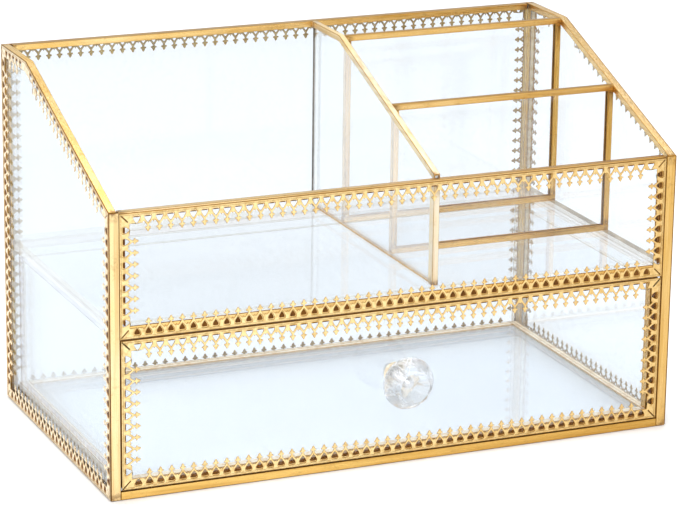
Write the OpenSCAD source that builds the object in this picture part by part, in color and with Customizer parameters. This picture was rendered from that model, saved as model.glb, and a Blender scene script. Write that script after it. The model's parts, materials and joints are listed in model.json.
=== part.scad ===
// Brass and glass jewelry box: an open divided tray with a sloping front over one full-width drawer.
// Millimetres. +Z up, the drawer opens towards -Y, and the origin is the middle of the footprint.

/* [Case] */
// Width across the lace on the two sides
case_w = 305; // [260:1:340]
// Depth from the front posts to the lace on the back
case_d = 167; // [150:1:200]
// Height of the back
back_h = 191; // [175:1:220]
// Height of the front
front_h = 145; // [125:1:160]
// Depth of the level stretch on top of each side, from the back
flat_d = 41.5; // [25:0.5:44]
// Height of the tray's lower edge, just above the drawer
tray_h = 81.4; // [78:0.1:90]
// Height of the sill under the drawer
sill_h = 4.3; // [4.2:0.1:4.5]

/* [Brass and glass] */
// Width of each leg of a corner post
post_w = 5; // [4:0.5:5.5]
// Depth of the channel folded over a glass edge
channel_h = 3.2; // [2.5:0.1:5]
// Width of the came seen on the drawer's front
came_w = 2.5; // [2:0.5:4]
// Thickness of the brass
brass_t = 0.7; // [0.6:0.1:0.8]
// Thickness of the glass
glass_t = 2.5; // [2:0.1:2.5]
// Thickness of the divider's and the partitions' glass
part_glass_t = 1.8; // [1.5:0.1:2.5]
// Height of the brass strip behind the lace along the tray's lower edge
tray_rail_h = 6.5; // [6:0.1:7.5]

/* [Lace] */
// Thickness of the pressed lace
lace_t = 0.5; // [0.3:0.1:0.5]
// Height of the lace from its straight edge to its points
lace_h = 10.1; // [8:0.1:12]
// Height of the lace's unbroken band
lace_band = 5.8; // [4:0.1:7]
// Distance between two points of the lace
lace_pitch = 5.75; // [4:0.05:8]
// Height of the bare strip above the lace on the tray's front
lace_drop = 0.7; // [0:0.1:1]

/* [Tray] */
// Height of the tray's floor above the tray's lower edge
floor_rise = 7.8; // [7.5:0.1:9]
// Middle of the divider, to the right of the case's middle
divider_x = 20.6; // [-40:0.1:60]
// Middle of the rear partition, behind the case's middle
rear_partition_y = 42; // [30:0.5:50]
// Middle of the front partition, behind the case's middle
front_partition_y = -20; // [-40:0.5:0]
// Thickness of the tray's floor
floor_t = 3; // [2:0.1:3]

/* [Drawer] */
// Gap between the drawer's front and the case
drawer_gap = 0.4; // [0.3:0.1:0.6]
// Depth of the channels folded over the drawer's floor and the front edges of its side walls
drawer_channel_h = 5; // [3:0.5:6]
// Height of the drawer's side walls above its underside
drawer_side_h = 73; // [40:1:73]
// Corner radius of the drawer's front
corner_r = 2.5; // [2:0.1:4]

/* [Knob] */
// Diameter of the crystal at its girdle
knob_d = 27; // [18:1:32]
// Length of the crystal
knob_len = 19; // [12:1:22]
// Diameter of the clear shank
shank_d = 7; // [6:0.5:10]
// Length of the clear shank
shank_len = 5; // [3:0.5:8]
// Place of the knob to the right of the drawer's middle
knob_x = -2; // [-5:0.5:5]
// Height of the knob's axis
knob_z = 47; // [38:0.5:50]

/* [Hidden] */
$fn = 48;

brass = "#d8a44c";
lace_gold = "#e0b05c";
clear = "#dcebf2";
crystal = "#eef6fa";
steel = "#b9bcc0";

// Faces on the left and right, from the outside in: lace, post, glass, channel.
lace_x = case_w / 2;
post_x = lace_x - lace_t;
glass_x = post_x - brass_t;
inner_x = glass_x - glass_t;
lip_x = inner_x - brass_t;
post_edge_x = post_x - post_w;

// The same faces on the back.
lace_y = case_d / 2;
post_y = lace_y - lace_t;
glass_y = post_y - brass_t;
inner_y = glass_y - glass_t;
lip_y = inner_y - brass_t;

// Faces on the front, where the tray's panel stands a little back from the posts.
recess = 0.2;
front_y = -case_d / 2;
side_front_y = front_y + brass_t;
tray_lace_y = front_y + recess;
tray_rail_y = tray_lace_y + lace_t;
tray_glass_y = tray_rail_y + brass_t;
tray_inner_y = tray_glass_y + glass_t;
tray_lip_y = tray_inner_y + brass_t;

// The sides and the divider share one profile: level at the back, then a straight slope to the front.
bend_y = lace_y - flat_d;
slope = (back_h - front_h) / (bend_y - front_y);
slope_a = atan(slope);
function top_z(y) = y >= bend_y ? back_h : back_h - (bend_y - y) * slope;
function mitre_y(depth) = bend_y + depth * tan(slope_a / 2);
function slope_drop(depth) = depth / cos(slope_a);

// Heights inside the case.
tray_floor_z = tray_h + floor_rise;
floor_under_z = tray_floor_z - floor_t;
support_h = 4;
support_t = 3;
base_glass_t = 3;
lace_foot = 0.3;

// Gap between a sloping glass edge and the channel folded over it.
seat = 0.1;

// Widths of the channels over the outer panels, and over the divider and the partitions.
frame_t = glass_t + 2 * brass_t;
part_t = part_glass_t + 2 * brass_t;

// Partitions fill the tray between the divider and the right side.
part_x0 = divider_x + part_t / 2;
part_x1 = lip_x;

// Drawer, seen from the front and from above.
drawer_x = post_edge_x - drawer_gap;
drawer_z0 = sill_h + drawer_gap;
drawer_z1 = tray_h - drawer_gap;
came_y = front_y + lace_t;
drawer_glass_y = came_y + brass_t;
drawer_inner_y = drawer_glass_y + glass_t;
drawer_lip_y = drawer_inner_y + brass_t;
drawer_rail_z = sill_h + 0.3;
drawer_box_x = drawer_x - brass_t;
drawer_wall_x = drawer_box_x - glass_t;
drawer_wall_z = drawer_rail_z + frame_t;
drawer_top_z = drawer_rail_z + drawer_side_h;
drawer_back_y = inner_y - drawer_gap;

// Knob hardware.
screw_r = 1.95;
hole_r = 2;
screw_in_head = 9;
ferrule_t = 0.8;
ferrule_r = 6;
washer_t = 0.8;
washer_r = 5;
nut_h = 3;
nut_r = 4;
screw_tail = 1;
shank_y = drawer_glass_y - ferrule_t;
head_y = shank_y - shank_len;

// ---------- helpers ----------

// A box from one corner to the opposite one.
module block(low, high) {
    translate(low) cube(high - low);
}

// A flat shape drawn in Y and Z, from x0 to x1.
module in_yz(x0, x1) {
    translate([x0, 0, 0]) rotate([90, 0, 90]) linear_extrude(x1 - x0) children();
}

// A flat shape drawn in X and Z, from y0 to y1.
module in_xz(y0, y1) {
    translate([0, y1, 0]) rotate([90, 0, 0]) linear_extrude(y1 - y0) children();
}

// The side profile between y0 and y1, above z0 and a depth below its top line.
module profile(y0, y1, z0, depth) {
    polygon([
        [y0, z0], [y1, z0], [y1, back_h - depth],
        [mitre_y(depth), back_h - depth], [y0, top_z(y0) - slope_drop(depth)]
    ]);
}

// The band along the top of the side profile, down to a depth.
module profile_band(y0, y1, depth) {
    polygon([
        [y0, top_z(y0)], [y0, top_z(y0) - slope_drop(depth)], [mitre_y(depth), back_h - depth],
        [y1, back_h - depth], [y1, back_h], [bend_y, back_h]
    ]);
}

// A folded channel over a glass edge that follows the side profile.
module profile_channel(x0, x1, y0, y1) {
    in_yz(x0, x1) profile_band(y0, y1, brass_t);
    in_yz(x0, x0 + brass_t) profile_band(y0, y1, channel_h);
    in_yz(x1 - brass_t, x1) profile_band(y0, y1, channel_h);
}

// A channel section, opening towards +Y of its own plane, around glass in the middle of its width.
module channel_section(width, depth) {
    difference() {
        translate([-width / 2, 0]) square([width, depth]);
        translate([brass_t - width / 2, brass_t]) square([width - 2 * brass_t, depth]);
    }
}

// A channel along X, its back at z; up = 1 opens upwards and up = -1 opens downwards.
module channel_x(x0, x1, y, z, up, width) {
    translate([0, y, z]) in_yz(x0, x1) mirror([0, up < 0 ? 1 : 0])
        channel_section(width, channel_h);
}

// A channel along Z, its back at x; way = 1 opens towards +X and way = -1 towards -X.
module channel_z(z0, z1, x, y, way, width) {
    translate([x, y, z0]) rotate([0, 0, way > 0 ? -90 : 90]) linear_extrude(z1 - z0)
        channel_section(width, channel_h);
}

// A channel along Z whose back is at y, opening towards +Y.
module channel_z_rear(z0, z1, x, y, width, depth) {
    translate([x, y, z0]) linear_extrude(z1 - z0) channel_section(width, depth);
}

// A corner post of two legs; sx and sy say which corner it stands in.
module post(sx, sy, y_face, leg_h, side_h) {
    mirror([sx < 0 ? 1 : 0, 0, 0]) {
        y_in = y_face - sy * brass_t;
        y_tip = y_face - sy * post_w;
        block([post_edge_x, min(y_face, y_in), 0], [post_x, max(y_face, y_in), leg_h]);
        block([glass_x, min(y_in, y_tip), 0], [post_x, max(y_in, y_tip), side_h]);
    }
}

// The point at a depth inside corner i of an outline that runs anticlockwise.
function inset(outline, i, depth) =
    let (
        n = len(outline),
        before = outline[i] - outline[(i + n - 1) % n],
        after = outline[(i + 1) % n] - outline[i],
        u = before / norm(before),
        v = after / norm(after)
    )
    outline[i] + depth * (v - u) / cross(u, v);

// The inner edge of the lace between corners a and b: whole points only, centred, clear of both corners.
function lace_edge(a, b) =
    let (
        length = norm(b - a),
        along = (b - a) / length,
        inward = [-along.y, along.x],
        count = floor((length - 2 * lace_h) / lace_pitch),
        start = (length - count * lace_pitch) / 2
    )
    [
        for (i = [0:2 * count])
            a + (start + i * lace_pitch / 2) * along + (i % 2 == 0 ? lace_band : lace_h) * inward
    ];

// Lace along every edge of an outline, which runs anticlockwise, with its points inwards.
module lace_ring(outline) {
    n = len(outline);
    difference() {
        polygon(outline);
        polygon([
            for (i = [0:n - 1])
                each concat([inset(outline, i, lace_band)], lace_edge(outline[i], outline[(i + 1) % n]))
        ]);
    }
}

// The outline of a rectangle for lace_ring.
function rectangle(x0, z0, x1, z1) = [[x0, z0], [x1, z0], [x1, z1], [x0, z1]];

// The outline of a side for lace_ring.
function side_outline(y0, y1, z0) =
    [[y0, z0], [y1, z0], [y1, back_h], [bend_y, back_h], [y0, top_z(y0)]];

// A rectangle with round corners.
module round_rectangle(x0, z0, x1, z1, r) {
    translate([x0 + r, z0]) square([x1 - x0 - 2 * r, z1 - z0]);
    translate([x0, z0 + r]) square([x1 - x0, z1 - z0 - 2 * r]);
    for (x = [x0 + r, x1 - r])
        for (z = [z0 + r, z1 - r])
            translate([x, z]) circle(r);
}

// A rod along Y through the knob's axis.
module knob_rod(y0, y1, r) {
    translate([knob_x, y1, knob_z]) rotate([90, 0, 0]) cylinder(h = y1 - y0, r = r);
}

// ---------- case frame ----------

module front_left_post() {
    color(brass) post(-1, -1, front_y, front_h, front_h - slope_drop(channel_h) - recess);
}

module front_right_post() {
    color(brass) post(1, -1, front_y, front_h, front_h - slope_drop(channel_h) - recess);
}

module back_left_post() {
    color(brass) post(-1, 1, post_y, back_h, back_h - channel_h);
}

module back_right_post() {
    color(brass) post(1, 1, post_y, back_h, back_h - channel_h);
}

// Angle frame that the panels stand on, its upright legs running between the posts.
module base_frame() {
    side_y0 = front_y + post_w;
    side_y1 = post_y - post_w;
    color(brass) {
        difference() {
            block([-glass_x, side_front_y, 0], [glass_x, glass_y, brass_t]);
            block(
                [post_w - glass_x, front_y + post_w, -1],
                [glass_x - post_w, glass_y - post_w, brass_t + 1]
            );
        }
        block([-post_edge_x, front_y, 0], [post_edge_x, side_front_y, sill_h]);
        block([-post_edge_x, glass_y, 0], [post_edge_x, post_y, sill_h]);
        block([-post_x, side_y0, 0], [-glass_x, side_y1, sill_h]);
        block([glass_x, side_y0, 0], [post_x, side_y1, sill_h]);
    }
}

module back_top_channel() {
    color(brass) channel_x(-post_edge_x, post_edge_x, inner_y + glass_t / 2, back_h, -1, frame_t);
}

module left_top_channel() {
    color(brass) profile_channel(-post_x, -lip_x, side_front_y, glass_y);
}

module right_top_channel() {
    color(brass) profile_channel(lip_x, post_x, side_front_y, glass_y);
}

module tray_front_top_channel() {
    color(brass)
        channel_x(-post_edge_x, post_edge_x, tray_glass_y + glass_t / 2, front_h, -1, frame_t);
}

module tray_front_left_channel() {
    y = tray_glass_y + glass_t / 2;
    color(brass) channel_z(tray_floor_z, front_h - channel_h, -post_edge_x, y, 1, frame_t);
}

module tray_front_right_channel() {
    mirror([1, 0, 0]) tray_front_left_channel();
}

// Angle under the tray's front edge, its upright leg behind the lace.
module tray_front_bottom_rail() {
    color(brass) {
        block([-post_edge_x, tray_rail_y, tray_h], [post_edge_x, tray_glass_y, tray_h + tray_rail_h]);
        block(
            [-post_edge_x, tray_glass_y, floor_under_z - brass_t],
            [post_edge_x, tray_glass_y + post_w, floor_under_z]
        );
    }
}

// ---------- case glass ----------

module base_glass() {
    color(clear, 0.35)
        block([-inner_x, side_front_y, brass_t], [inner_x, inner_y, brass_t + base_glass_t]);
}

module back_glass() {
    color(clear, 0.35) block([-lip_x, inner_y, brass_t], [lip_x, glass_y, back_h - brass_t]);
}

module left_glass() {
    color(clear, 0.35) in_yz(-glass_x, -inner_x) profile(side_front_y, glass_y, brass_t, brass_t + seat);
}

module right_glass() {
    color(clear, 0.35) in_yz(inner_x, glass_x) profile(side_front_y, glass_y, brass_t, brass_t + seat);
}

module tray_front_glass() {
    x_end = post_edge_x - brass_t;
    color(clear, 0.35)
        block([-x_end, tray_glass_y, tray_floor_z], [x_end, tray_inner_y, front_h - brass_t]);
}

module tray_floor_glass() {
    color(clear, 0.35)
        block([-inner_x, tray_glass_y, floor_under_z], [inner_x, inner_y, tray_floor_z]);
}

// Clear strips on the case walls that carry the tray's floor.
module tray_support_left() {
    color(clear, 0.35) block(
        [-inner_x, tray_glass_y + post_w, floor_under_z - support_h],
        [support_t - inner_x, inner_y - support_t, floor_under_z]
    );
}

module tray_support_right() {
    mirror([1, 0, 0]) tray_support_left();
}

module tray_support_back() {
    color(clear, 0.35) block(
        [-inner_x, inner_y - support_t, floor_under_z - support_h],
        [inner_x, inner_y, floor_under_z]
    );
}

// ---------- tray divider and partitions ----------

module divider_glass() {
    color(clear, 0.35) in_yz(divider_x - part_glass_t / 2, divider_x + part_glass_t / 2)
        profile(tray_lip_y + brass_t, lip_y, tray_floor_z, brass_t + seat);
}

module divider_top_channel() {
    color(brass)
        profile_channel(divider_x - part_t / 2, divider_x + part_t / 2, tray_lip_y, lip_y);
}

module divider_front_channel() {
    top = top_z(tray_lip_y) - slope_drop(channel_h);
    color(brass) channel_z_rear(tray_floor_z, top, divider_x, tray_lip_y, part_t, post_w);
}

// The four rails and the glass of a partition stand on the tray's floor, centred on y.
function partition_top(y) = top_z(y);

module partition_glass(y) {
    color(clear, 0.35) block(
        [part_x0 + brass_t, y - part_glass_t / 2, tray_floor_z + brass_t],
        [part_x1 - brass_t, y + part_glass_t / 2, partition_top(y) - brass_t]
    );
}

module partition_top_rail(y) {
    color(brass) channel_x(part_x0, part_x1, y, partition_top(y), -1, part_t);
}

module partition_bottom_rail(y) {
    color(brass) channel_x(part_x0, part_x1, y, tray_floor_z, 1, part_t);
}

module partition_post(y, x, way) {
    z0 = tray_floor_z + channel_h;
    z1 = partition_top(y) - channel_h;
    color(brass) channel_z(z0, z1, x, y, way, part_t);
}

module rear_partition_glass() {
    partition_glass(rear_partition_y);
}

module rear_partition_top_rail() {
    partition_top_rail(rear_partition_y);
}

module rear_partition_bottom_rail() {
    partition_bottom_rail(rear_partition_y);
}

module rear_partition_left_post() {
    partition_post(rear_partition_y, part_x0, 1);
}

module rear_partition_right_post() {
    partition_post(rear_partition_y, part_x1, -1);
}

module front_partition_glass() {
    partition_glass(front_partition_y);
}

module front_partition_top_rail() {
    partition_top_rail(front_partition_y);
}

module front_partition_bottom_rail() {
    partition_bottom_rail(front_partition_y);
}

module front_partition_left_post() {
    partition_post(front_partition_y, part_x0, 1);
}

module front_partition_right_post() {
    partition_post(front_partition_y, part_x1, -1);
}

// ---------- lace ----------

module back_lace() {
    color(lace_gold) in_xz(post_y, lace_y) lace_ring(rectangle(-post_x, lace_foot, post_x, back_h));
}

module side_lace(x0, x1) {
    color(lace_gold) in_yz(x0, x1) lace_ring(side_outline(front_y, post_y, lace_foot));
}

module left_lace() {
    side_lace(-lace_x, -post_x);
}

module right_lace() {
    side_lace(post_x, lace_x);
}

module tray_front_lace() {
    color(lace_gold) in_xz(tray_lace_y, tray_rail_y)
        lace_ring(rectangle(-post_edge_x, tray_h, post_edge_x, front_h - lace_drop));
}

module drawer_front_lace() {
    color(lace_gold) in_xz(front_y, came_y) intersection() {
        lace_ring(rectangle(-drawer_x, drawer_z0, drawer_x, drawer_z1));
        round_rectangle(-drawer_x, drawer_z0, drawer_x, drawer_z1, corner_r);
    }
}

// ---------- drawer ----------

module drawer_front_glass() {
    color(clear, 0.35) difference() {
        in_xz(drawer_glass_y, drawer_inner_y) round_rectangle(
            brass_t - drawer_x, drawer_z0 + brass_t,
            drawer_x - brass_t, drawer_z1 - brass_t, corner_r - brass_t
        );
        knob_rod(drawer_glass_y - 1, drawer_inner_y + 1, hole_r);
    }
}

// The came around the drawer's front, of which each rail takes the part between x0, z0 and x1, z1.
module drawer_came(x0, z0, x1, z1) {
    color(brass) intersection() {
        block([x0, came_y, z0], [x1, drawer_lip_y, z1]);
        difference() {
            in_xz(came_y, drawer_lip_y)
                round_rectangle(-drawer_x, drawer_z0, drawer_x, drawer_z1, corner_r);
            in_xz(drawer_glass_y, drawer_inner_y) round_rectangle(
                brass_t - drawer_x, drawer_z0 + brass_t,
                drawer_x - brass_t, drawer_z1 - brass_t, corner_r - brass_t
            );
            block(
                [came_w - drawer_x, came_y - 1, drawer_z0 + came_w],
                [drawer_x - came_w, drawer_lip_y + 1, drawer_z1 - came_w]
            );
        }
    }
}

module drawer_front_top_came() {
    drawer_came(-drawer_x, drawer_z1 - came_w, drawer_x, drawer_z1);
}

module drawer_front_bottom_came() {
    drawer_came(-drawer_x, drawer_z0, drawer_x, drawer_z0 + came_w);
}

module drawer_front_left_came() {
    drawer_came(-drawer_x, drawer_z0 + came_w, came_w - drawer_x, drawer_z1 - came_w);
}

module drawer_front_right_came() {
    drawer_came(drawer_x - came_w, drawer_z0 + came_w, drawer_x, drawer_z1 - came_w);
}

// The walls stand on the channels that are folded over the floor's edges.
module drawer_left_glass() {
    color(clear, 0.35) block(
        [-drawer_box_x, drawer_lip_y + brass_t, drawer_wall_z],
        [-drawer_wall_x, drawer_back_y, drawer_top_z]
    );
}

module drawer_right_glass() {
    mirror([1, 0, 0]) drawer_left_glass();
}

module drawer_back_glass() {
    color(clear, 0.35) block(
        [-drawer_wall_x, drawer_back_y - glass_t, drawer_wall_z],
        [drawer_wall_x, drawer_back_y, drawer_top_z]
    );
}

module drawer_floor_glass() {
    z0 = drawer_rail_z + brass_t;
    color(clear, 0.35) block(
        [-drawer_box_x, drawer_lip_y + brass_t, z0],
        [drawer_box_x, drawer_back_y - brass_t, z0 + glass_t]
    );
}

// Channels over the front edges of the side walls.
module drawer_left_channel() {
    x = -(drawer_box_x + drawer_wall_x) / 2;
    color(brass)
        channel_z_rear(drawer_wall_z, drawer_top_z, x, drawer_lip_y, frame_t, drawer_channel_h);
}

module drawer_right_channel() {
    mirror([1, 0, 0]) drawer_left_channel();
}

// Channels over the edges of the floor, the side ones running the full depth.
module drawer_left_rail() {
    color(brass) in_xz(drawer_lip_y, drawer_back_y)
        translate([-drawer_x, drawer_rail_z + frame_t / 2]) rotate(-90)
            channel_section(frame_t, drawer_channel_h);
}

module drawer_right_rail() {
    mirror([1, 0, 0]) drawer_left_rail();
}

module drawer_cross_rail(y, turn) {
    x_end = drawer_x - drawer_channel_h;
    color(brass) in_yz(-x_end, x_end)
        translate([y, drawer_rail_z + frame_t / 2]) rotate(turn)
            channel_section(frame_t, drawer_channel_h);
}

module drawer_front_rail() {
    drawer_cross_rail(drawer_lip_y, -90);
}

module drawer_back_rail() {
    drawer_cross_rail(drawer_back_y, 90);
}

// ---------- knob ----------

// Cut crystal: a pavilion that widens from the shank to the girdle, then a crown and a flat table.
module knob_head() {
    girdle_r = knob_d / 2;
    color(crystal, 0.35) difference() {
        translate([knob_x, head_y, knob_z]) rotate([90, 0, 0]) rotate_extrude($fn = 64) polygon([
            [0, 0], [shank_d / 2 + 1, 0], [girdle_r, 0.52 * knob_len], [girdle_r, 0.6 * knob_len],
            [0.6 * girdle_r, knob_len], [0, knob_len]
        ]);
        knob_rod(head_y - screw_in_head, head_y + 1, hole_r);
    }
}

module knob_shank() {
    color(crystal, 0.35) difference() {
        knob_rod(head_y, shank_y, shank_d / 2);
        knob_rod(head_y - 1, shank_y + 1, hole_r);
    }
}

module knob_ferrule() {
    color(brass) difference() {
        knob_rod(shank_y, drawer_glass_y, ferrule_r);
        knob_rod(shank_y - 1, drawer_glass_y + 1, hole_r);
    }
}

module knob_washer() {
    color(crystal, 0.5) difference() {
        knob_rod(drawer_inner_y, drawer_inner_y + washer_t, washer_r);
        knob_rod(drawer_inner_y - 1, drawer_inner_y + washer_t + 1, hole_r);
    }
}

module knob_nut() {
    y0 = drawer_inner_y + washer_t;
    color(steel) difference() {
        translate([knob_x, y0 + nut_h, knob_z]) rotate([90, 0, 0]) cylinder(h = nut_h, r = nut_r, $fn = 6);
        knob_rod(y0 - 1, y0 + nut_h + 1, hole_r);
    }
}

module knob_screw() {
    color(steel)
        knob_rod(head_y - screw_in_head, drawer_inner_y + washer_t + nut_h + screw_tail, screw_r);
}

front_left_post();
front_right_post();
back_left_post();
back_right_post();
base_frame();
base_glass();
back_top_channel();
left_top_channel();
right_top_channel();
tray_front_top_channel();
tray_front_left_channel();
tray_front_right_channel();
tray_front_bottom_rail();
back_glass();
left_glass();
right_glass();
tray_front_glass();
tray_floor_glass();
tray_support_left();
tray_support_right();
tray_support_back();
divider_glass();
divider_top_channel();
divider_front_channel();
rear_partition_glass();
rear_partition_top_rail();
rear_partition_bottom_rail();
rear_partition_left_post();
rear_partition_right_post();
front_partition_glass();
front_partition_top_rail();
front_partition_bottom_rail();
front_partition_left_post();
front_partition_right_post();
back_lace();
left_lace();
right_lace();
tray_front_lace();
drawer_front_glass();
drawer_front_top_came();
drawer_front_bottom_came();
drawer_front_left_came();
drawer_front_right_came();
drawer_front_lace();
drawer_left_glass();
drawer_right_glass();
drawer_back_glass();
drawer_floor_glass();
drawer_left_channel();
drawer_right_channel();
drawer_left_rail();
drawer_right_rail();
drawer_front_rail();
drawer_back_rail();
knob_head();
knob_shank();
knob_ferrule();
knob_screw();
knob_washer();
knob_nut();
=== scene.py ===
"""Brass and glass jewelry box: the visual model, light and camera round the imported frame."""

import json
import math

import bmesh
import bpy
from mathutils import Matrix, Vector

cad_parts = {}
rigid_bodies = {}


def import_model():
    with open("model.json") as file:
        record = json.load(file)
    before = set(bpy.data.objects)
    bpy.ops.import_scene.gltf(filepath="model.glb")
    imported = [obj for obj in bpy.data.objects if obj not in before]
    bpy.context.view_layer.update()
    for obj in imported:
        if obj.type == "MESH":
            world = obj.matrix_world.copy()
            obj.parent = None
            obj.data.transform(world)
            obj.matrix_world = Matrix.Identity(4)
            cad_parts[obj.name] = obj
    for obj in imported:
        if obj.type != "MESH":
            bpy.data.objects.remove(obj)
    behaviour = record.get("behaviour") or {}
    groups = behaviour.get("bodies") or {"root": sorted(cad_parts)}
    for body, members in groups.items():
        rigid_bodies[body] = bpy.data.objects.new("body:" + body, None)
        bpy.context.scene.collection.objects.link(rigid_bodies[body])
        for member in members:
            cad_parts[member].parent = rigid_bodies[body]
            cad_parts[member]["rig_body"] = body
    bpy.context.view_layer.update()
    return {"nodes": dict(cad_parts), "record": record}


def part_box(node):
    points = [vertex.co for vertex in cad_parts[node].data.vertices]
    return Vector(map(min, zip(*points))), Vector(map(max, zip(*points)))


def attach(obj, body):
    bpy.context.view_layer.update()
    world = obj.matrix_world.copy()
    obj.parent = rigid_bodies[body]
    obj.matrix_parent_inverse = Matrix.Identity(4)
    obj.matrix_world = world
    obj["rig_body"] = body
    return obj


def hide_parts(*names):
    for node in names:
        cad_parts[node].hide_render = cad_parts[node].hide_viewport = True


MM = 0.001
X, Y, Z = 0, 1, 2

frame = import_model()
NODES = frame["nodes"]
SLOTS = {part["node"]: part["material_slot"] for part in frame["record"]["subparts"]}
BODY_OF = {name: node["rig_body"] for name, node in NODES.items()}


# ---------- material graphs ----------

# Noise scales are in waves per metre: 1500 gives grain under a millimetre, and 26 gives clouds of
# about 40 mm. A streak is so much finer across the strip than along it.
STREAK_STRETCH = 0.03

# Solder stains a strip fully up to SOLDER_FROM of its end, and not at all from SOLDER_TO on.
SOLDER_FROM = 0.8 * MM
SOLDER_TO = 5.5 * MM
SOLDER_SHARE = 0.85

# How near another face has to be for painted shade to darken the brass in the fold between them.
FOLD_SHADE_REACH = 1.2 * MM


class Graph:
    """A material's node tree, built one node at a time."""

    def __init__(self, name):
        self.material = bpy.data.materials.new(name)
        self.material.use_nodes = True
        self.tree = self.material.node_tree
        self.tree.nodes.clear()

    def add(self, kind, inputs=None, **settings):
        node = self.tree.nodes.new("ShaderNode" + kind)
        for key, value in settings.items():
            setattr(node, key, value)
        for key, value in (inputs or {}).items():
            if isinstance(value, bpy.types.NodeSocket):
                self.tree.links.new(value, node.inputs[key])
            else:
                node.inputs[key].default_value = value
        return node

    def place(self):
        return self.add("TexCoord").outputs["Object"]

    def stretched(self, vector, scale):
        return self.add("Mapping", {"Vector": vector, "Scale": scale}).outputs[0]

    def noise(self, vector, scale, detail=3.0, roughness=0.5):
        inputs = {"Vector": vector, "Scale": scale, "Detail": detail, "Roughness": roughness}
        return self.add("TexNoise", inputs).outputs[0]

    def spread(self, value, low, high, out_low=0.0, out_high=1.0):
        inputs = {"Value": value, "From Min": low, "From Max": high, "To Min": out_low, "To Max": out_high}
        return self.add("MapRange", inputs).outputs[0]

    def maths(self, operation, a, b=0.0):
        return self.add("Math", {0: a, 1: b}, operation=operation).outputs[0]

    def mix(self, factor, a, b, blend="MIX"):
        node = self.add("Mix", {0: factor, 6: a, 7: b}, data_type="RGBA", blend_type=blend)
        return node.outputs[2]

    def bump(self, height, distance, strength=1.0):
        inputs = {"Height": height, "Distance": distance, "Strength": strength}
        return self.add("Bump", inputs).outputs[0]

    def mix_shader(self, factor, a, b):
        return self.add("MixShader", {0: factor, 1: a, 2: b}).outputs[0]

    def finish(self, surface):
        output = self.add("OutputMaterial")
        self.tree.links.new(surface, output.inputs["Surface"])
        return self.material


def rgb(r, g, b):
    return (r, g, b, 1.0)


PALE_GOLD = rgb(0.98, 0.73, 0.34)
RICH_GOLD = rgb(0.90, 0.60, 0.19)
SOFT_GOLD = rgb(1.00, 0.765, 0.43)
LACE_GOLD = rgb(0.97, 0.75, 0.37)
GOLD = rgb(0.88, 0.55, 0.16)
DEEP_GOLD = rgb(0.52, 0.26, 0.04)
CREAM = rgb(0.95, 0.88, 0.74)
CREAM_SHADE = rgb(0.90, 0.79, 0.59)
TARNISH = rgb(0.34, 0.18, 0.055)
FOLD_SHADE_BROWN = rgb(0.26, 0.13, 0.035)
SOLDER = rgb(0.24, 0.125, 0.05)
CLEAN_VEIL = rgb(0.93, 0.965, 1.0)
BLUE_VEIL = rgb(0.76, 0.83, 0.90)


def brass_material(name, along, pale, deep, tarnish_share, rough, right_shade=0.5, ends=None, metal=1.0):
    """Drawn brass strip: streaks along it, slow colour changes, tarnish spots and painted shade in its
    folds.

    The brass is painted deeper towards the case's right, as shade where less light falls; right_shade says
    how much. With ends, the strip is stained by solder near those two places along it. metal is under 1
    where the brass is dulled."""
    g = Graph(name)
    place = g.place()
    scale = [1.0, 1.0, 1.0]
    if along is not None:
        scale[along] = STREAK_STRETCH
    streaks = g.noise(g.stretched(place, scale), 1500.0, 4.0, 0.6)
    wide_streaks = g.noise(g.stretched(place, scale), 420.0, 2.0, 0.5)
    clouds = g.noise(place, 26.0, 3.0, 0.55)
    spots = g.noise(place, 210.0, 5.0, 0.7)
    axes = g.add("SeparateXYZ", {0: place}).outputs
    colour = g.mix(g.spread(clouds, 0.36, 0.64), pale, deep)
    # Painted shade: the brass deepens towards the case's right, where less light falls.
    colour = g.mix(g.spread(axes["X"], -0.07, 0.145, 0.0, right_shade), colour, DEEP_GOLD)
    colour = g.mix(g.spread(wide_streaks, 0.45, 0.66, 0.0, 0.5), colour, DEEP_GOLD)
    colour = g.mix(g.spread(streaks, 0.35, 0.7, 0.0, 0.4), colour, pale)
    colour = g.mix(g.spread(spots, 0.58, 0.74, 0.0, tarnish_share), colour, TARNISH)
    if ends:
        from_low = g.maths("SUBTRACT", axes[along], ends[0])
        from_high = g.maths("SUBTRACT", ends[1], axes[along])
        from_end = g.maths("MINIMUM", from_low, from_high)
        nearness = g.spread(from_end, SOLDER_FROM, SOLDER_TO, SOLDER_SHARE, 0.0)
        blots = g.spread(g.noise(place, 300.0, 3.0, 0.6), 0.40, 0.60)
        colour = g.mix(g.maths("MULTIPLY", nearness, blots), colour, SOLDER)
    # Painted shade: ambient occlusion browns the brass where its own faces close round a fold.
    folds = g.add("AmbientOcclusion", {"Distance": FOLD_SHADE_REACH}, samples=4, only_local=True).outputs["AO"]
    colour = g.mix(g.spread(folds, 0.25, 0.85, 0.6, 0.0), colour, FOLD_SHADE_BROWN)
    relief = g.maths("ADD", streaks, g.maths("MULTIPLY", spots, 0.6))
    shader = g.add("BsdfPrincipled", {
        "Base Color": colour,
        "Metallic": metal,
        "Roughness": g.spread(g.maths("ADD", streaks, wide_streaks), 0.8, 1.25, rough[0], rough[1]),
        "Normal": g.bump(relief, 0.03 * MM, 0.5),
    })
    return g.finish(shader.outputs[0])


def recess_shade_material():
    """Painted shade: the brown brass behind the lace's holes, where little light reaches."""
    g = Graph("brass_recess")
    place = g.place()
    clouds = g.noise(place, 160.0, 4.0, 0.6)
    grain = g.noise(place, 900.0, 3.0, 0.6)
    colour = g.mix(g.spread(clouds, 0.35, 0.65), rgb(0.21, 0.080, 0.012), rgb(0.11, 0.038, 0.006))
    shader = g.add("BsdfPrincipled", {
        "Base Color": colour,
        "Metallic": 0.8,
        "Roughness": g.spread(grain, 0.3, 0.7, 0.45, 0.65),
        "Normal": g.bump(grain, 0.03 * MM, 0.5),
    })
    return g.finish(shader.outputs[0])


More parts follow.
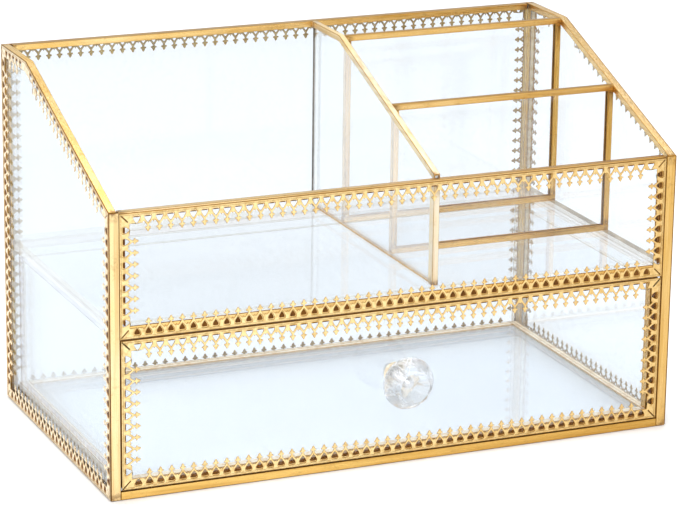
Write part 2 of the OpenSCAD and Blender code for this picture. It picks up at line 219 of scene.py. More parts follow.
def let_light_through(g, surface):
    """Lamps shine through the thin sheet as if it weren't there."""
    lamp_ray = g.add("LightPath").outputs["Is Shadow Ray"]
    return g.mix_shader(lamp_ray, surface, g.add("BsdfTransparent").outputs[0])


def pane_material(name, tint, film, slant_power, milk=0.0, veil=CLEAN_VEIL):
    """One face of a thin clear sheet: it tints what is behind it a little and mirrors more at a slant.

    film is how far dust and smears cloud it in places, milk how far it is clouded all over, and
    veil the colour of the clouding. A lower slant_power makes it mirror more at a slant."""
    g = Graph(name)
    place = g.place()
    waves = g.noise(place, 14.0, 2.0, 0.4)
    dust = g.noise(place, 420.0, 5.0, 0.7)
    smears = g.noise(place, 45.0, 4.0, 0.6)
    slant = g.add("LayerWeight", {"Blend": 0.5}).outputs["Facing"]
    mirror = g.maths("ADD", g.maths("MULTIPLY", g.maths("POWER", slant, slant_power), 0.94), 0.03)
    clear = g.add("BsdfTransparent", {"Color": tint}).outputs[0]
    gloss = g.add("BsdfGlossy", {
        "Color": rgb(0.97, 0.985, 1.0),
        "Roughness": g.spread(smears, 0.4, 0.7, 0.0, 0.08),
        "Normal": g.bump(waves, 0.25 * MM, 0.3),
    }).outputs[0]
    haze = g.add("BsdfDiffuse", {"Color": veil}).outputs[0]
    share = g.maths("MULTIPLY", g.spread(dust, 0.45, 0.75), g.spread(smears, 0.42, 0.62, 0.15, 1.0))
    cloud = g.spread(share, 0.0, 1.0, milk, milk + film)
    body = g.mix_shader(cloud, clear, haze)
    return g.finish(let_light_through(g, g.mix_shader(mirror, body, gloss)))


def edge_material(name, dark, light, solid):
    """The ground edge of a sheet, with lines along it from dark to light.

    solid is the share of the light that it stops."""
    g = Graph(name)
    place = g.place()
    lines = g.noise(place, 70.0, 3.0, 0.5)
    grain = g.noise(place, 1200.0, 3.0, 0.6)
    colour = g.mix(g.spread(lines, 0.35, 0.68), dark, light)
    clear = g.add("BsdfTransparent", {"Color": colour}).outputs[0]
    ground = g.add("BsdfPrincipled", {
        "Base Color": colour,
        "Roughness": g.spread(grain, 0.3, 0.7, 0.12, 0.35),
        "Normal": g.bump(grain, 0.02 * MM, 0.4),
    }).outputs[0]
    return g.finish(let_light_through(g, g.mix_shader(solid, clear, ground)))


def crystal_material(name, tint, washed_out):
    """Cut crystal; washed_out is the share of light that comes straight through, as in bright light."""
    g = Graph(name)
    place = g.place()
    seeds = g.noise(place, 700.0, 3.0, 0.6)
    shader = g.add("BsdfPrincipled", {
        "Base Color": g.mix(g.spread(seeds, 0.6, 0.8), tint, rgb(0.93, 0.95, 0.98)),
        "Roughness": g.spread(seeds, 0.4, 0.8, 0.0, 0.03),
        "IOR": 1.54,
        "Transmission Weight": 1.0,
        "Normal": g.bump(seeds, 0.004 * MM, 0.3),
    })
    straight = g.add("BsdfTransparent", {"Color": rgb(0.99, 0.995, 1.0)}).outputs[0]
    return g.finish(let_light_through(g, g.mix_shader(washed_out, shader.outputs[0], straight)))


def steel_material():
    """Plated steel with fine turning marks and a few dull stains."""
    g = Graph("plated_steel")
    place = g.place()
    turning = g.noise(g.stretched(place, (1.0, 0.1, 1.0)), 2600.0, 3.0, 0.6)
    stains = g.noise(place, 300.0, 4.0, 0.6)
    shader = g.add("BsdfPrincipled", {
        "Base Color": g.mix(g.spread(stains, 0.4, 0.7), rgb(0.78, 0.79, 0.81), rgb(0.52, 0.51, 0.50)),
        "Metallic": 1.0,
        "Roughness": g.spread(turning, 0.3, 0.7, 0.18, 0.34),
        "Normal": g.bump(turning, 0.01 * MM, 0.5),
    })
    return g.finish(shader.outputs[0])


def washer_material():
    """Soft clear plastic, half milky."""
    g = Graph("soft_washer")
    place = g.place()
    flow = g.noise(place, 500.0, 3.0, 0.6)
    clear = g.add("BsdfTransparent", {"Color": rgb(0.93, 0.95, 0.96)}).outputs[0]
    milky = g.add("BsdfPrincipled", {
        "Base Color": g.mix(flow, rgb(0.84, 0.87, 0.89), rgb(0.93, 0.94, 0.95)),
        "Roughness": g.spread(flow, 0.3, 0.7, 0.2, 0.4),
        "Normal": g.bump(flow, 0.02 * MM, 0.4),
    }).outputs[0]
    return g.finish(g.mix_shader(0.5, clear, milky))


def floor_material():
    """The pale matt floor that the box stands on."""
    g = Graph("pale_floor")
    place = g.place()
    mottle = g.noise(place, 6.0, 4.0, 0.6)
    shader = g.add("BsdfPrincipled", {
        "Base Color": g.mix(mottle, rgb(0.93, 0.935, 0.945), rgb(0.955, 0.957, 0.96)),
        "Roughness": g.spread(mottle, 0.3, 0.7, 0.75, 0.85),
        "Normal": g.bump(g.noise(place, 900.0), 0.02 * MM, 0.2),
    })
    return g.finish(shader.outputs[0])


# Painted shade: bevels and cut edges painted darker brown, as the dark outlines that shading gives them.
BRASS_EDGE_SHADE = brass_material(
    "brass_edge", None, rgb(0.50, 0.29, 0.08), rgb(0.36, 0.18, 0.04), 0.4, (0.35, 0.5),
)
# Painted shade: near-black brown for cut edges, came sides, bevels round the drawer opening and narrow gaps,
# where shade falls.
BRASS_GROOVE_SHADE = brass_material(
    "brass_groove", None, rgb(0.22, 0.085, 0.009), rgb(0.13, 0.046, 0.006), 0.4, (0.45, 0.6),
)
# Painted shade: rail tops that get little light are painted a darker brass.
BRASS_TOP_SHADE = brass_material(
    "brass_top", X, rgb(0.52, 0.35, 0.13), rgb(0.42, 0.26, 0.08), 0.4, (0.3, 0.45),
)
# Painted light: cream, half-metallic brass, as if brightly lit by bounced light, for the floor channels, a
# post's inner side and the ferrule.
LIT_CREAM_BRASS = brass_material(
    "brass_floor_channel", None, CREAM, CREAM_SHADE, 0.15, (0.3, 0.45), right_shade=0.0, metal=0.45,
)
BRASS_LACE = brass_material("brass_lace", None, LACE_GOLD, PALE_GOLD, 0.35, (0.24, 0.42))
# Painted light: the left lace and its edges are paler, as if lit more brightly from the left.
LIT_LACE_LEFT = brass_material(
    "brass_lace_left", None, rgb(0.99, 0.89, 0.68), rgb(0.93, 0.74, 0.44), 0.3, (0.24, 0.42),
)
LIT_LEFT_EDGE = brass_material(
    "brass_lace_left_edge", None, rgb(0.80, 0.62, 0.38), rgb(0.62, 0.43, 0.22), 0.3, (0.3, 0.5),
)
LACE_BACK = brass_material(
    "brass_lace_reverse", None, rgb(0.80, 0.60, 0.30), rgb(0.52, 0.38, 0.18), 0.3, (0.4, 0.55),
)
BRASS_TURNED = brass_material("brass_turned", None, GOLD, DEEP_GOLD, 0.3, (0.18, 0.3))
RECESS_SHADE = recess_shade_material()
INNER_TINT = rgb(0.996, 0.998, 1.0)
SIDE_TINT = rgb(0.915, 0.940, 0.960)
BACK_TINT = rgb(0.878, 0.902, 0.920)
PANE = pane_material("clear_pane", INNER_TINT, 0.04, 5.0)
PANE_SIDE = pane_material("clear_pane_side", SIDE_TINT, 0.04, 4.0)
PANE_BACK = pane_material("clear_pane_back", BACK_TINT, 0.04, 4.0)
PANE_FLOOR = pane_material("clear_pane_floor", INNER_TINT, 0.04, 4.0, 0.30, BLUE_VEIL)
PANE_DIVIDER = pane_material("clear_pane_divider", INNER_TINT, 0.06, 2.3)
PANE_EDGE = edge_material("ground_edge", rgb(0.93, 0.90, 0.84), rgb(0.98, 0.965, 0.94), 0.12)
EDGE_LILAC = edge_material("ground_edge_lilac", rgb(0.74, 0.74, 0.86), rgb(0.90, 0.89, 0.95), 0.25)
# Painted shade: a near-black ground edge, as a glass edge looks in shadow.
DARK_EDGE_SHADE = edge_material("ground_edge_dark", rgb(0.07, 0.058, 0.045), rgb(0.14, 0.105, 0.07), 0.93)
PANE_RIM = edge_material("ground_arris", rgb(0.32, 0.24, 0.15), rgb(0.62, 0.52, 0.38), 0.4)
SUPPORT = edge_material("support_strip", rgb(0.985, 0.955, 0.935), rgb(0.99, 0.975, 0.965), 0.12)
CRYSTAL = crystal_material("cut_crystal", rgb(0.985, 0.995, 1.0), 0.33)
STEEL = steel_material()
WASHER = washer_material()


# ---------- rebuilding the solids as finished meshes ----------

# Faces that meet flatter than FLAT become one, and edges sharper than SHARP are bevelled.
FLAT = math.radians(0.5)
SHARP = math.radians(30)
SAME_POINT = 1e-6
ON_PLANE = 1e-7

# A face looks along an axis when its normal's part on that axis is more than this.
SQUARE_ON = 0.9


def link(name, mesh):
    obj = bpy.data.objects.new(name, mesh)
    bpy.context.scene.collection.objects.link(obj)
    return obj


def stand_for(obj, node):
    """The piece rides on the node's body and shows in its place."""
    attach(obj, BODY_OF[node])
    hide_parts(node)
    return obj


def smooth(obj):
    """Smooth shading that keeps broad faces flat, so that only the bevels look round."""
    obj.data.polygons.foreach_set("use_smooth", [True] * len(obj.data.polygons))
    obj.modifiers.new("face_normals", "WEIGHTED_NORMAL").weight = 100


def long_axis(node):
    """The axis along which a node's box is longest."""
    low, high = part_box(node)
    size = high - low
    return max((X, Y, Z), key=lambda axis: size[axis])


def thin_axis(node):
    """The axis along which a node's box is thinnest."""
    low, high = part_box(node)
    size = high - low
    return min((X, Y, Z), key=lambda axis: size[axis])


def rebuild(node, suffix, materials, pick, bevel, bevel_material, cuts=()):
    """A copy of a node's solid with clean flat faces and bevelled edges.

    pick gives a face's material, and cuts are planes (place, normal) that split faces first."""
    bm = bmesh.new()
    bm.from_mesh(NODES[node].data)
    bmesh.ops.remove_doubles(bm, verts=bm.verts, dist=SAME_POINT)
    bmesh.ops.dissolve_limit(bm, angle_limit=FLAT, verts=bm.verts, edges=bm.edges)
    for place, normal in cuts:
        whole = bm.verts[:] + bm.edges[:] + bm.faces[:]
        bmesh.ops.bisect_plane(bm, geom=whole, dist=ON_PLANE, plane_co=place, plane_no=normal)
    bm.normal_update()
    for face in bm.faces:
        face.material_index = pick(face)
    sharp = [e for e in bm.edges if len(e.link_faces) == 2 and e.calc_face_angle() > SHARP]
    bmesh.ops.bevel(
        bm, geom=sharp, offset=bevel, offset_type="OFFSET", segments=2, profile=0.5,
        affect="EDGES", clamp_overlap=True, material=bevel_material,
    )
    mesh = bpy.data.meshes.new(node + suffix)
    bm.to_mesh(mesh)
    bm.free()
    for material in materials:
        mesh.materials.append(material)
    obj = link(node + suffix, mesh)
    smooth(obj)
    return stand_for(obj, node)


# ---------- brass strip and glass ----------

# Strips painted pale cream as if brightly lit, strips whose tops get painted shade, and the strips round the
# drawer, whose folds get painted shade.
FLOOR_CHANNELS = ("drawer_left_rail", "drawer_right_rail", "drawer_front_rail", "drawer_back_rail")
SHADE_TOPPED = (
    "back_top_channel", "rear_partition_top_rail", "rear_partition_bottom_rail",
    "front_partition_top_rail", "front_partition_bottom_rail",
)
ROUND_THE_OPENING = ("front_left_post", "front_right_post", "base_frame", "tray_front_bottom_rail")

# A strip's paler colour, its deeper colour and how far painted shade deepens it towards the right. The
# colours differ between strips partly as painted light and shade, paler where a strip is more brightly lit.
PLAIN_STRIP = (PALE_GOLD, GOLD, 0.9)
STRIP_COLOURS = {
    "base_frame": (RICH_GOLD, GOLD, 0.9),
    "front_left_post": (SOFT_GOLD, PALE_GOLD, 0.9),
    "front_right_post": (PALE_GOLD, RICH_GOLD, 0.65),
    "back_left_post": (PALE_GOLD, RICH_GOLD, 0.0),
    "back_right_post": (PALE_GOLD, RICH_GOLD, 0.0),
    "tray_front_top_channel": (SOFT_GOLD, PALE_GOLD, 0.9),
    "right_top_channel": (SOFT_GOLD, PALE_GOLD, 0.4),
    "divider_top_channel": (CREAM_SHADE, PALE_GOLD, 0.2),
    "divider_front_channel": (CREAM_SHADE, PALE_GOLD, 0.2),
}
STRIP_BEVEL = 0.25 * MM

# A strip's face narrower than this is the cut edge of its sheet.
CUT_EDGE = 0.8 * MM

PANE_OF = {
    "left_glass": PANE_SIDE, "right_glass": PANE_SIDE, "back_glass": PANE_BACK,
    "drawer_floor_glass": PANE_FLOOR, "divider_glass": PANE_DIVIDER,
}
EDGE_OF = {"left_glass": EDGE_LILAC, "drawer_left_glass": EDGE_LILAC, "base_glass": DARK_EDGE_SHADE}
SOFT_RIMMED = ("tray_front_glass", "tray_floor_glass", "drawer_floor_glass", "base_glass")
PANE_BEVEL = 0.2 * MM

# How far a pane's faces are drawn in, clear of the brass.
HAIR = 0.03 * MM

# How wide three bands are: the divider's dark back and gilt foot, and the base glass's brown front. The dark
# back and the brown front are painted shade.
DARK_BACK = 3.0 * MM
GILT_FOOT = 1.1 * MM
SHADED_SILL = 2.6 * MM


def strip_brass(node):
    """The brass of one strip, stained by solder at its ends. The base frame runs all round."""
    if node in FLOOR_CHANNELS:
        return LIT_CREAM_BRASS
    along = long_axis(node)
    ends = None if node == "base_frame" else [corner[along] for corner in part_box(node)]
    pale, deep, right_shade = STRIP_COLOURS.get(node, PLAIN_STRIP)
    rough = (0.34, 0.5) if node.startswith("divider") else (0.20, 0.38)
    return brass_material("brass_" + node, along, pale, deep, 0.45, rough, right_shade, ends)


def is_cut_edge(face):
    """Whether a face is the cut edge of folded sheet, rather than one of its broad faces."""
    return face.calc_area() / max(edge.calc_length() for edge in face.edges) < CUT_EDGE


def strip(node):
    """A folded strip, with painted shade on its cut edges and folds and, on some, painted shade on its top
    or a pale inside painted as if brightly lit.
    """
    own, folds, shaded_top, groove, pale = range(5)
    brass = strip_brass(node)
    came = node.endswith("_came")

    def pick(face):
        side_of_came = came and abs(face.normal.y) < SQUARE_ON
        if brass is not LIT_CREAM_BRASS and (is_cut_edge(face) or side_of_came):
            return groove
        # Painted light: the back right post's left-facing faces are painted pale cream, as if brightly lit.
        if node == "back_right_post" and face.normal.x < -SQUARE_ON:
            return pale
        return shaded_top if node in SHADE_TOPPED and face.normal.z > SQUARE_ON else own

    materials = [brass, BRASS_EDGE_SHADE, BRASS_TOP_SHADE, BRASS_GROOVE_SHADE, LIT_CREAM_BRASS]
    bevel = groove if came or node in ROUND_THE_OPENING else folds
    rebuild(node, "_strip", materials, pick, STRIP_BEVEL, bevel)


def draw_in(obj, node, gap):
    """Pull a sheet's faces in by a hair's breadth, so that none lies in the same plane as brass."""
    low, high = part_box(node)
    centre, size = (low + high) / 2, high - low
    for vertex in obj.data.vertices:
        for axis in (X, Y, Z):
            vertex.co[axis] -= (vertex.co[axis] - centre[axis]) * 2 * gap / size[axis]


# A pane's materials, by their place in its list.
FACE, EDGE, RIM, DARK, GILT, ARRIS, GROOVE = range(7)


def pane_bands(node):
    """The planes that cut a pane's faces into bands, and what gives the material at a place on it.

    A band is gilt where brass lies close against the glass, and brown or near-black as painted shade where
    shadow lies behind it."""
    low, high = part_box(node)
    if node == "divider_glass":
        back, foot = high.y - DARK_BACK, low.z + GILT_FOOT

        def band(face, place):
            # Painted shade: the left face's back strip is painted near-black, like a glass edge in shadow.
            if place.y > back:
                return DARK if face.normal.x < 0 else FACE
            return GILT if place.z < foot else FACE

        return [((0, 0, foot), (0, 0, 1)), ((0, back, 0), (0, 1, 0))], band
    if node in ("left_glass", "right_glass"):
        post_low, post_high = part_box("front_right_post")
        front = low.y + post_high.x - post_low.x

        def band(face, place):
            # Painted shade: the inner face's front strip, behind the post, is painted brown like the shaded
            # gap.
            return GROOVE if place.y < front and face.normal.x * place.x < 0 else FACE

        return [((0, front, 0), (0, 1, 0))], band
    if node == "base_glass":
        sill = low.y + SHADED_SILL

        def band(face, place):
            # Painted shade: the top face's front strip, under the drawer, is painted brown.
            return GROOVE if place.y < sill and face.normal.z > SQUARE_ON else FACE

        return [((0, sill, 0), (0, 1, 0))], band
    return [], lambda face, place: FACE


def pane(node):
    """A sheet of glass with ground edges."""
    axis = thin_axis(node)
    glass = SUPPORT if node.startswith("tray_support") else PANE_OF.get(node, PANE)
    edge = EDGE_OF.get(node, PANE_EDGE)
    rim = PANE_EDGE if node in SOFT_RIMMED else PANE_RIM
    materials = [glass, edge, rim, DARK_EDGE_SHADE, BRASS_TURNED, PANE_RIM, BRASS_GROOVE_SHADE]
    cuts, band = pane_bands(node)

    def pick(face):
        if abs(face.normal[axis]) < SQUARE_ON:
            return ARRIS if node == "tray_floor_glass" and face.normal.x > SQUARE_ON else EDGE
        return band(face, face.calc_center_median())

    sheet = rebuild(node, "_sheet", materials, pick, PANE_BEVEL, RIM, cuts)
    draw_in(sheet, node, HAIR)


for node, slot in SLOTS.items():
    if slot == "brass" and node != "knob_ferrule":
        strip(node)
    elif slot == "clear_glass":
        pane(node)


# ---------- lace ----------

# Every measure of the lace is in millimetres. BAND is how deep it is solid, below its points.
LACE_PITCH = 5.75
LACE_HEIGHT = 10.1
BAND = 5.45
SHEET = 0.36
ROUNDING = 0.18

# Two raised beads run along the lace's outer edge, between these depths from it.
BEADS = ((0.12, 0.55), (0.95, 1.25))

# The mitred seam at a corner: where it starts and ends, in from the edge, and half its width.
SEAM_START = 1.0
SEAM_END = 4.5
SEAM_HALF = 0.17

# No hole is nearer than this to a corner, and the cut edges this near the outside are painted dark, as
# painted shade.
CORNER_CLEARANCE = 5.0
RIM_REACH = 0.2

# The brown patches of painted shade lie between these heights over the brass, inside the sheet's thickness.
PATCH_LOW = 0.01
PATCH_HIGH = 0.07

# Each lace's materials, by their place in its list.
FRONT, CUT, PATCH, REVERSE, RIM_CUT = range(5)

# A rounded corner is this many short lines.
CORNER_STEPS = 6

# The planes that the lace lies on: the axis across it and the way that it faces.
LACE_PLANES = {
    "left_lace": (X, -1), "right_lace": (X, 1), "back_lace": (Y, 1),
    "tray_front_lace": (Y, -1), "drawer_front_lace": (Y, -1),
}

# Right half of one point of the lace, from the foot at its side to the tip, as (along, height).
FINIAL = [
    (2.74, 5.30), (2.62, 4.90), (2.34, 4.66), (1.96, 4.84), (1.52, 5.35), (1.06, 6.00), (0.64, 6.60),
    (0.50, 7.10), (0.62, 7.40), (1.02, 7.42), (1.48, 7.64), (1.62, 8.02), (1.38, 8.40), (0.92, 8.46),
    (0.76, 8.70), (0.86, 8.98), (0.58, 9.46), (0.28, 9.86),
]
TIP = (0.0, LACE_HEIGHT)

# Right half of one hole, from its foot to its top.
HOLE_FOOT = (0.0, 1.62)
HOLE = [
    (1.16, 1.62), (1.62, 1.78), (1.80, 2.20), (1.72, 2.90), (1.46, 3.50), (1.10, 4.10), (0.72, 4.66),
    (0.36, 5.12),
]
HOLE_TOP = (0.0, 5.45)

# The size of the painted-shade patch behind a hole, as a share of the hole's.
SHADE_PATCH_SHARE = 0.80


def mirrored(points):
    """The same points on the other side of the middle."""
    return [(-s, h) for s, h in points]


def finial_outline():
    """A point of the lace from its left foot over its tip to its right foot."""
    return mirrored(FINIAL) + [TIP] + FINIAL[::-1]


def hole_outline():
    """One arched hole, anticlockwise from its foot."""
    return [HOLE_FOOT] + HOLE + [HOLE_TOP] + mirrored(HOLE)[::-1]


def shade_patch_outline():
    """The brown patch of painted shade on the brass behind a hole, a little smaller than the hole."""
    centre = (HOLE_FOOT[1] + HOLE_TOP[1]) / 2
    return [(s * SHADE_PATCH_SHARE, centre + (h - centre) * SHADE_PATCH_SHARE) for s, h in hole_outline()]


def unit(v):
    return v / v.length


def inset(outline, i, depth):
    """The point at a depth inside corner i of an outline that runs anticlockwise."""
    n = len(outline)
    before = unit(outline[i] - outline[i - 1])
    after = unit(outline[(i + 1) % n] - outline[i])
    turn = before.x * after.y - before.y * after.x
    return outline[i] + (after - before) * (depth / turn)


def round_corners(outline, radius):
    """The outline with each corner cut to a quarter circle."""
    if radius == 0:
        return list(outline)
    points = []
    n = len(outline)
    for i, corner in enumerate(outline):
        before = unit(corner - outline[i - 1])
        after = unit(outline[(i + 1) % n] - corner)
        centre = corner + (after - before) * radius
        for step in range(CORNER_STEPS + 1):
            angle = step / CORNER_STEPS * math.pi / 2
            points.append(centre - after * (radius * math.cos(angle)) + before * (radius * math.sin(angle)))
    return points


def below(loop, height):
    """The part of a closed loop of (along, height) points that lies below a height."""
    kept = []
    for (s0, h0), (s1, h1) in zip(loop, loop[1:] + loop[:1]):
        if h0 <= height:
            kept.append((s0, h0))
        if (h0 <= height) != (h1 <= height):
            share = (height - h0) / (h1 - h0)
            kept.append((s0 + share * (s1 - s0), height))
    return kept


def mitre_seam(outline, i):
    """The thin gap where two lengths of lace meet at a corner."""
    near, far = inset(outline, i, SEAM_START), inset(outline, i, SEAM_END)
    side = unit(far - near)
    side = Vector((-side.y, side.x)) * SEAM_HALF
    return [near - side, far - side, far + side, near + side]


def lace_curves(outline, corner_radius, backing):
    """The outer edge, inner edge and holes of lace, and the part of each hole with brass close behind, which
    gets painted shade.

    backing gives how deep the brass behind each edge reaches from it."""
    inner, holes, floors = [], [], []
    n = len(outline)
    for i in range(n):
        a, b = outline[i], outline[(i + 1) % n]
        along = unit(b - a)
        inward = Vector((-along.y, along.x))
        length = (b - a).length
        count = math.floor((length - 2 * LACE_HEIGHT) / LACE_PITCH)
        start = (length - count * LACE_PITCH) / 2

        def at(s, h):
            return a + along * s + inward * h

        seam = mitre_seam(outline, i)
        holes.append(seam)
        floors.append(seam)
        inner.append(inset(outline, i, BAND))
        for k in range(count):
            middle = start + (k + 0.5) * LACE_PITCH
            inner.append(at(middle - LACE_PITCH / 2, BAND))
            inner += [at(middle + s, h) for s, h in finial_outline()]
        inner.append(at(start + count * LACE_PITCH, BAND))
        for k in range(-1, count + 1):
            middle = start + (k + 0.5) * LACE_PITCH
            if CORNER_CLEARANCE < middle < length - CORNER_CLEARANCE:
                holes.append([at(middle + s, h) for s, h in hole_outline()])
                floors.append([at(middle + s, h) for s, h in below(shade_patch_outline(), backing[i])])
    return round_corners(outline, corner_radius), inner, holes, floors


def flat_curve(name, loops, z_low, z_high, rounding):
    """A mesh of a flat shape with holes, from z_low to z_high, its edges rounded."""
    curve = bpy.data.curves.new(name, "CURVE")
    curve.dimensions = "2D"
    curve.fill_mode = "BOTH"
    curve.extrude = (z_high - z_low) / 2 - rounding
    curve.bevel_depth = rounding
    curve.bevel_resolution = 0
    curve.offset = -rounding
    for loop in loops:
        spline = curve.splines.new("POLY")
        spline.points.add(len(loop) - 1)
        for point, p in zip(spline.points, loop):
            point.co = (p[0], p[1], 0.0, 1.0)
        spline.use_cyclic_u = True
    obj = link(name, curve)
    mesh = bpy.data.meshes.new_from_object(obj.evaluated_get(bpy.context.evaluated_depsgraph_get()))
    bpy.data.objects.remove(obj)
    bpy.data.curves.remove(curve)
    for vertex in mesh.vertices:
        vertex.co.z += (z_low + z_high) / 2
    return mesh


def near_outline(point, outline, reach):
    """Whether a point lies within reach of an outline's lines."""
    for a, b in zip(outline, outline[1:] + outline[:1]):
        share = min(1.0, max(0.0, (point - a).dot(b - a) / (b - a).length_squared))
        if (a + (b - a) * share - point).length < reach:
            return True
    return False


def lace(node, outline, backing, corner_radius=0.0):
    """Pierced lace in a node's place. The outline is in the plane's own two axes, in millimetres."""
    axis, way = LACE_PLANES[node]
    low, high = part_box(node)
    thickness = (high[axis] - low[axis]) / MM
    outer, inner, holes, floors = lace_curves(outline, corner_radius, backing)
    bm = bmesh.new()
    bm.from_mesh(flat_curve(node, [outer, inner] + holes, 0.0, SHEET, ROUNDING))
    n = len(outline)
    for near, far in BEADS:
        loops = [[inset(outline, i, depth) for i in range(n)] for depth in (near, far)]
        bm.from_mesh(flat_curve(node, loops, thickness - 2 * ROUNDING, thickness, ROUNDING))
    bm.faces.ensure_lookup_table()
    for face in bm.faces:
        middle = face.calc_center_median()
        if abs(face.normal.z) < SQUARE_ON:
            face.material_index = RIM_CUT if near_outline(middle.xy, outer, RIM_REACH) else CUT
        else:
            face.material_index = REVERSE if middle.z < PATCH_LOW else FRONT
    first_floor = len(bm.faces)
    bm.from_mesh(flat_curve(node, floors, PATCH_LOW, PATCH_HIGH, 0.0))
    bm.faces.ensure_lookup_table()
    for face in bm.faces[first_floor:]:
        face.material_index = PATCH
    base = low[axis] if way > 0 else high[axis]
    across = [i for i in (X, Y, Z) if i != axis]
    for vertex in bm.verts:
        s, t, height = vertex.co
        co = Vector()
        co[axis] = base + way * height * MM
        co[across[0]] = s * MM
        co[across[1]] = t * MM
        vertex.co = co
    bmesh.ops.remove_doubles(bm, verts=bm.verts, dist=1e-7)
    bmesh.ops.recalc_face_normals(bm, faces=bm.faces)
    mesh = bpy.data.meshes.new(node + "_pierced")
    bm.to_mesh(mesh)
    bm.free()
    # The left lace takes the paler, painted-lit brass; cut edges and patches behind the holes are painted
    # shade.
    front, edge = (LIT_LACE_LEFT, LIT_LEFT_EDGE) if node == "left_lace" else (BRASS_LACE, BRASS_EDGE_SHADE)
    for material in (front, edge, RECESS_SHADE, LACE_BACK, BRASS_GROOVE_SHADE):
        mesh.materials.append(material)
    stand_for(link(node + "_pierced", mesh), node)


def box_outline(node, axis):
    """The rectangle of a node's box across an axis, anticlockwise, in millimetres."""
    low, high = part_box(node)
    a, b = [i for i in (X, Y, Z) if i != axis]
    corners = ((low[a], low[b]), (high[a], low[b]), (high[a], high[b]), (low[a], high[b]))
    return [Vector(c) / MM for c in corners]


def side_outline(node):
    """The side's outline: its box with the front corner cut down by the slope."""
    corners = box_outline(node, X)
    top = corners[2].y
    level = [v.co.y / MM for v in NODES[node].data.vertices if abs(v.co.z / MM - top) < 0.02]
    front_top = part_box("front_left_post")[1].z / MM
    return [corners[0], corners[1], corners[2], Vector((min(level), top)), Vector((corners[0].x, front_top))]


def leg(node, axis):
    """How deep a strip of brass reaches behind the lace, in millimetres."""
    low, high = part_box(node)
    return (high[axis] - low[axis]) / MM


# The depths behind a lace's edges, in the order of its outline from the lower left corner.
CHANNEL_LEG = leg("tray_front_top_channel", Z)
POST_LEG = leg("back_left_post", X)
CAME_LEG = leg("drawer_front_top_came", Z)
SILL_LEG = leg("base_frame", Z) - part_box("back_lace")[0].z / MM
SIDE_BACKING = (SILL_LEG, POST_LEG, CHANNEL_LEG, CHANNEL_LEG, POST_LEG)
BARE_STRIP = (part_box("tray_front_top_channel")[1].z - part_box("tray_front_lace")[1].z) / MM
DRAWER_CORNER = 2.5

for side in ("left_lace", "right_lace"):
    lace(side, side_outline(side), SIDE_BACKING)
lace("back_lace", box_outline("back_lace", Y), (SILL_LEG, POST_LEG, CHANNEL_LEG, POST_LEG))
lace(
    "tray_front_lace", box_outline("tray_front_lace", Y),
    (LACE_HEIGHT, CHANNEL_LEG, CHANNEL_LEG - BARE_STRIP, CHANNEL_LEG),
)
lace("drawer_front_lace", box_outline("drawer_front_lace", Y), (CAME_LEG,) * 4, DRAWER_CORNER)


# ---------- knob ----------

# The knob's axis runs along Y through this point.
KNOB = sum(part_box("knob_screw"), Vector()) / 2
BORE = 2.0 * MM
THREAD_PITCH = 0.7 * MM
SCREW_CHAMFER = 0.5 * MM
NUT_CHAMFER = 0.3 * MM
CRYSTAL_SIDES = 12
FACET_BEVEL = 0.08 * MM

# Each ring of the crystal: its depth behind the table and its radius, as shares of the crystal's
# length and radius, then its number of corners, and its turn as a share of one corner's.
CRYSTAL_RINGS = (
    (0.000, 0.58, CRYSTAL_SIDES, 0.0),
    (0.120, 0.76, CRYSTAL_SIDES, 0.5),
    (0.400, 0.995, 2 * CRYSTAL_SIDES, 0.25),
    (0.480, 0.995, 2 * CRYSTAL_SIDES, 0.25),
    (0.720, 0.745, CRYSTAL_SIDES, 0.5),
    (1.000, 0.330, CRYSTAL_SIDES, 0.0),
)


def turned(node, suffix, material, outline, segments=48):
    """A lathe piece round the knob's axis. The outline is a closed loop of (y, radius) in metres."""
    bm = bmesh.new()
    rings = []
    for step in range(segments):
        angle = 2 * math.pi * step / segments
        rings.append([
            bm.verts.new((KNOB.x + r * math.cos(angle), y, KNOB.z + r * math.sin(angle)))
            for y, r in outline
        ])
    for i, ring in enumerate(rings):
        after = rings[(i + 1) % segments]
        for k in range(len(outline)):
            j = (k + 1) % len(outline)
            if max(outline[k][1], outline[j][1]) > 0:
                bm.faces.new((ring[k], ring[j], after[j], after[k]))
    bmesh.ops.remove_doubles(bm, verts=bm.verts, dist=1e-7)
    bmesh.ops.dissolve_degenerate(bm, edges=bm.edges, dist=1e-7)
    bmesh.ops.recalc_face_normals(bm, faces=bm.faces)
    mesh = bpy.data.meshes.new(node + suffix)
    bm.to_mesh(mesh)
    bm.free()
    mesh.materials.append(material)
    obj = link(node + suffix, mesh)
    mesh.polygons.foreach_set("use_smooth", [True] * len(mesh.polygons))
    mesh.set_sharp_from_angle(angle=math.radians(35))
    stand_for(obj, node)


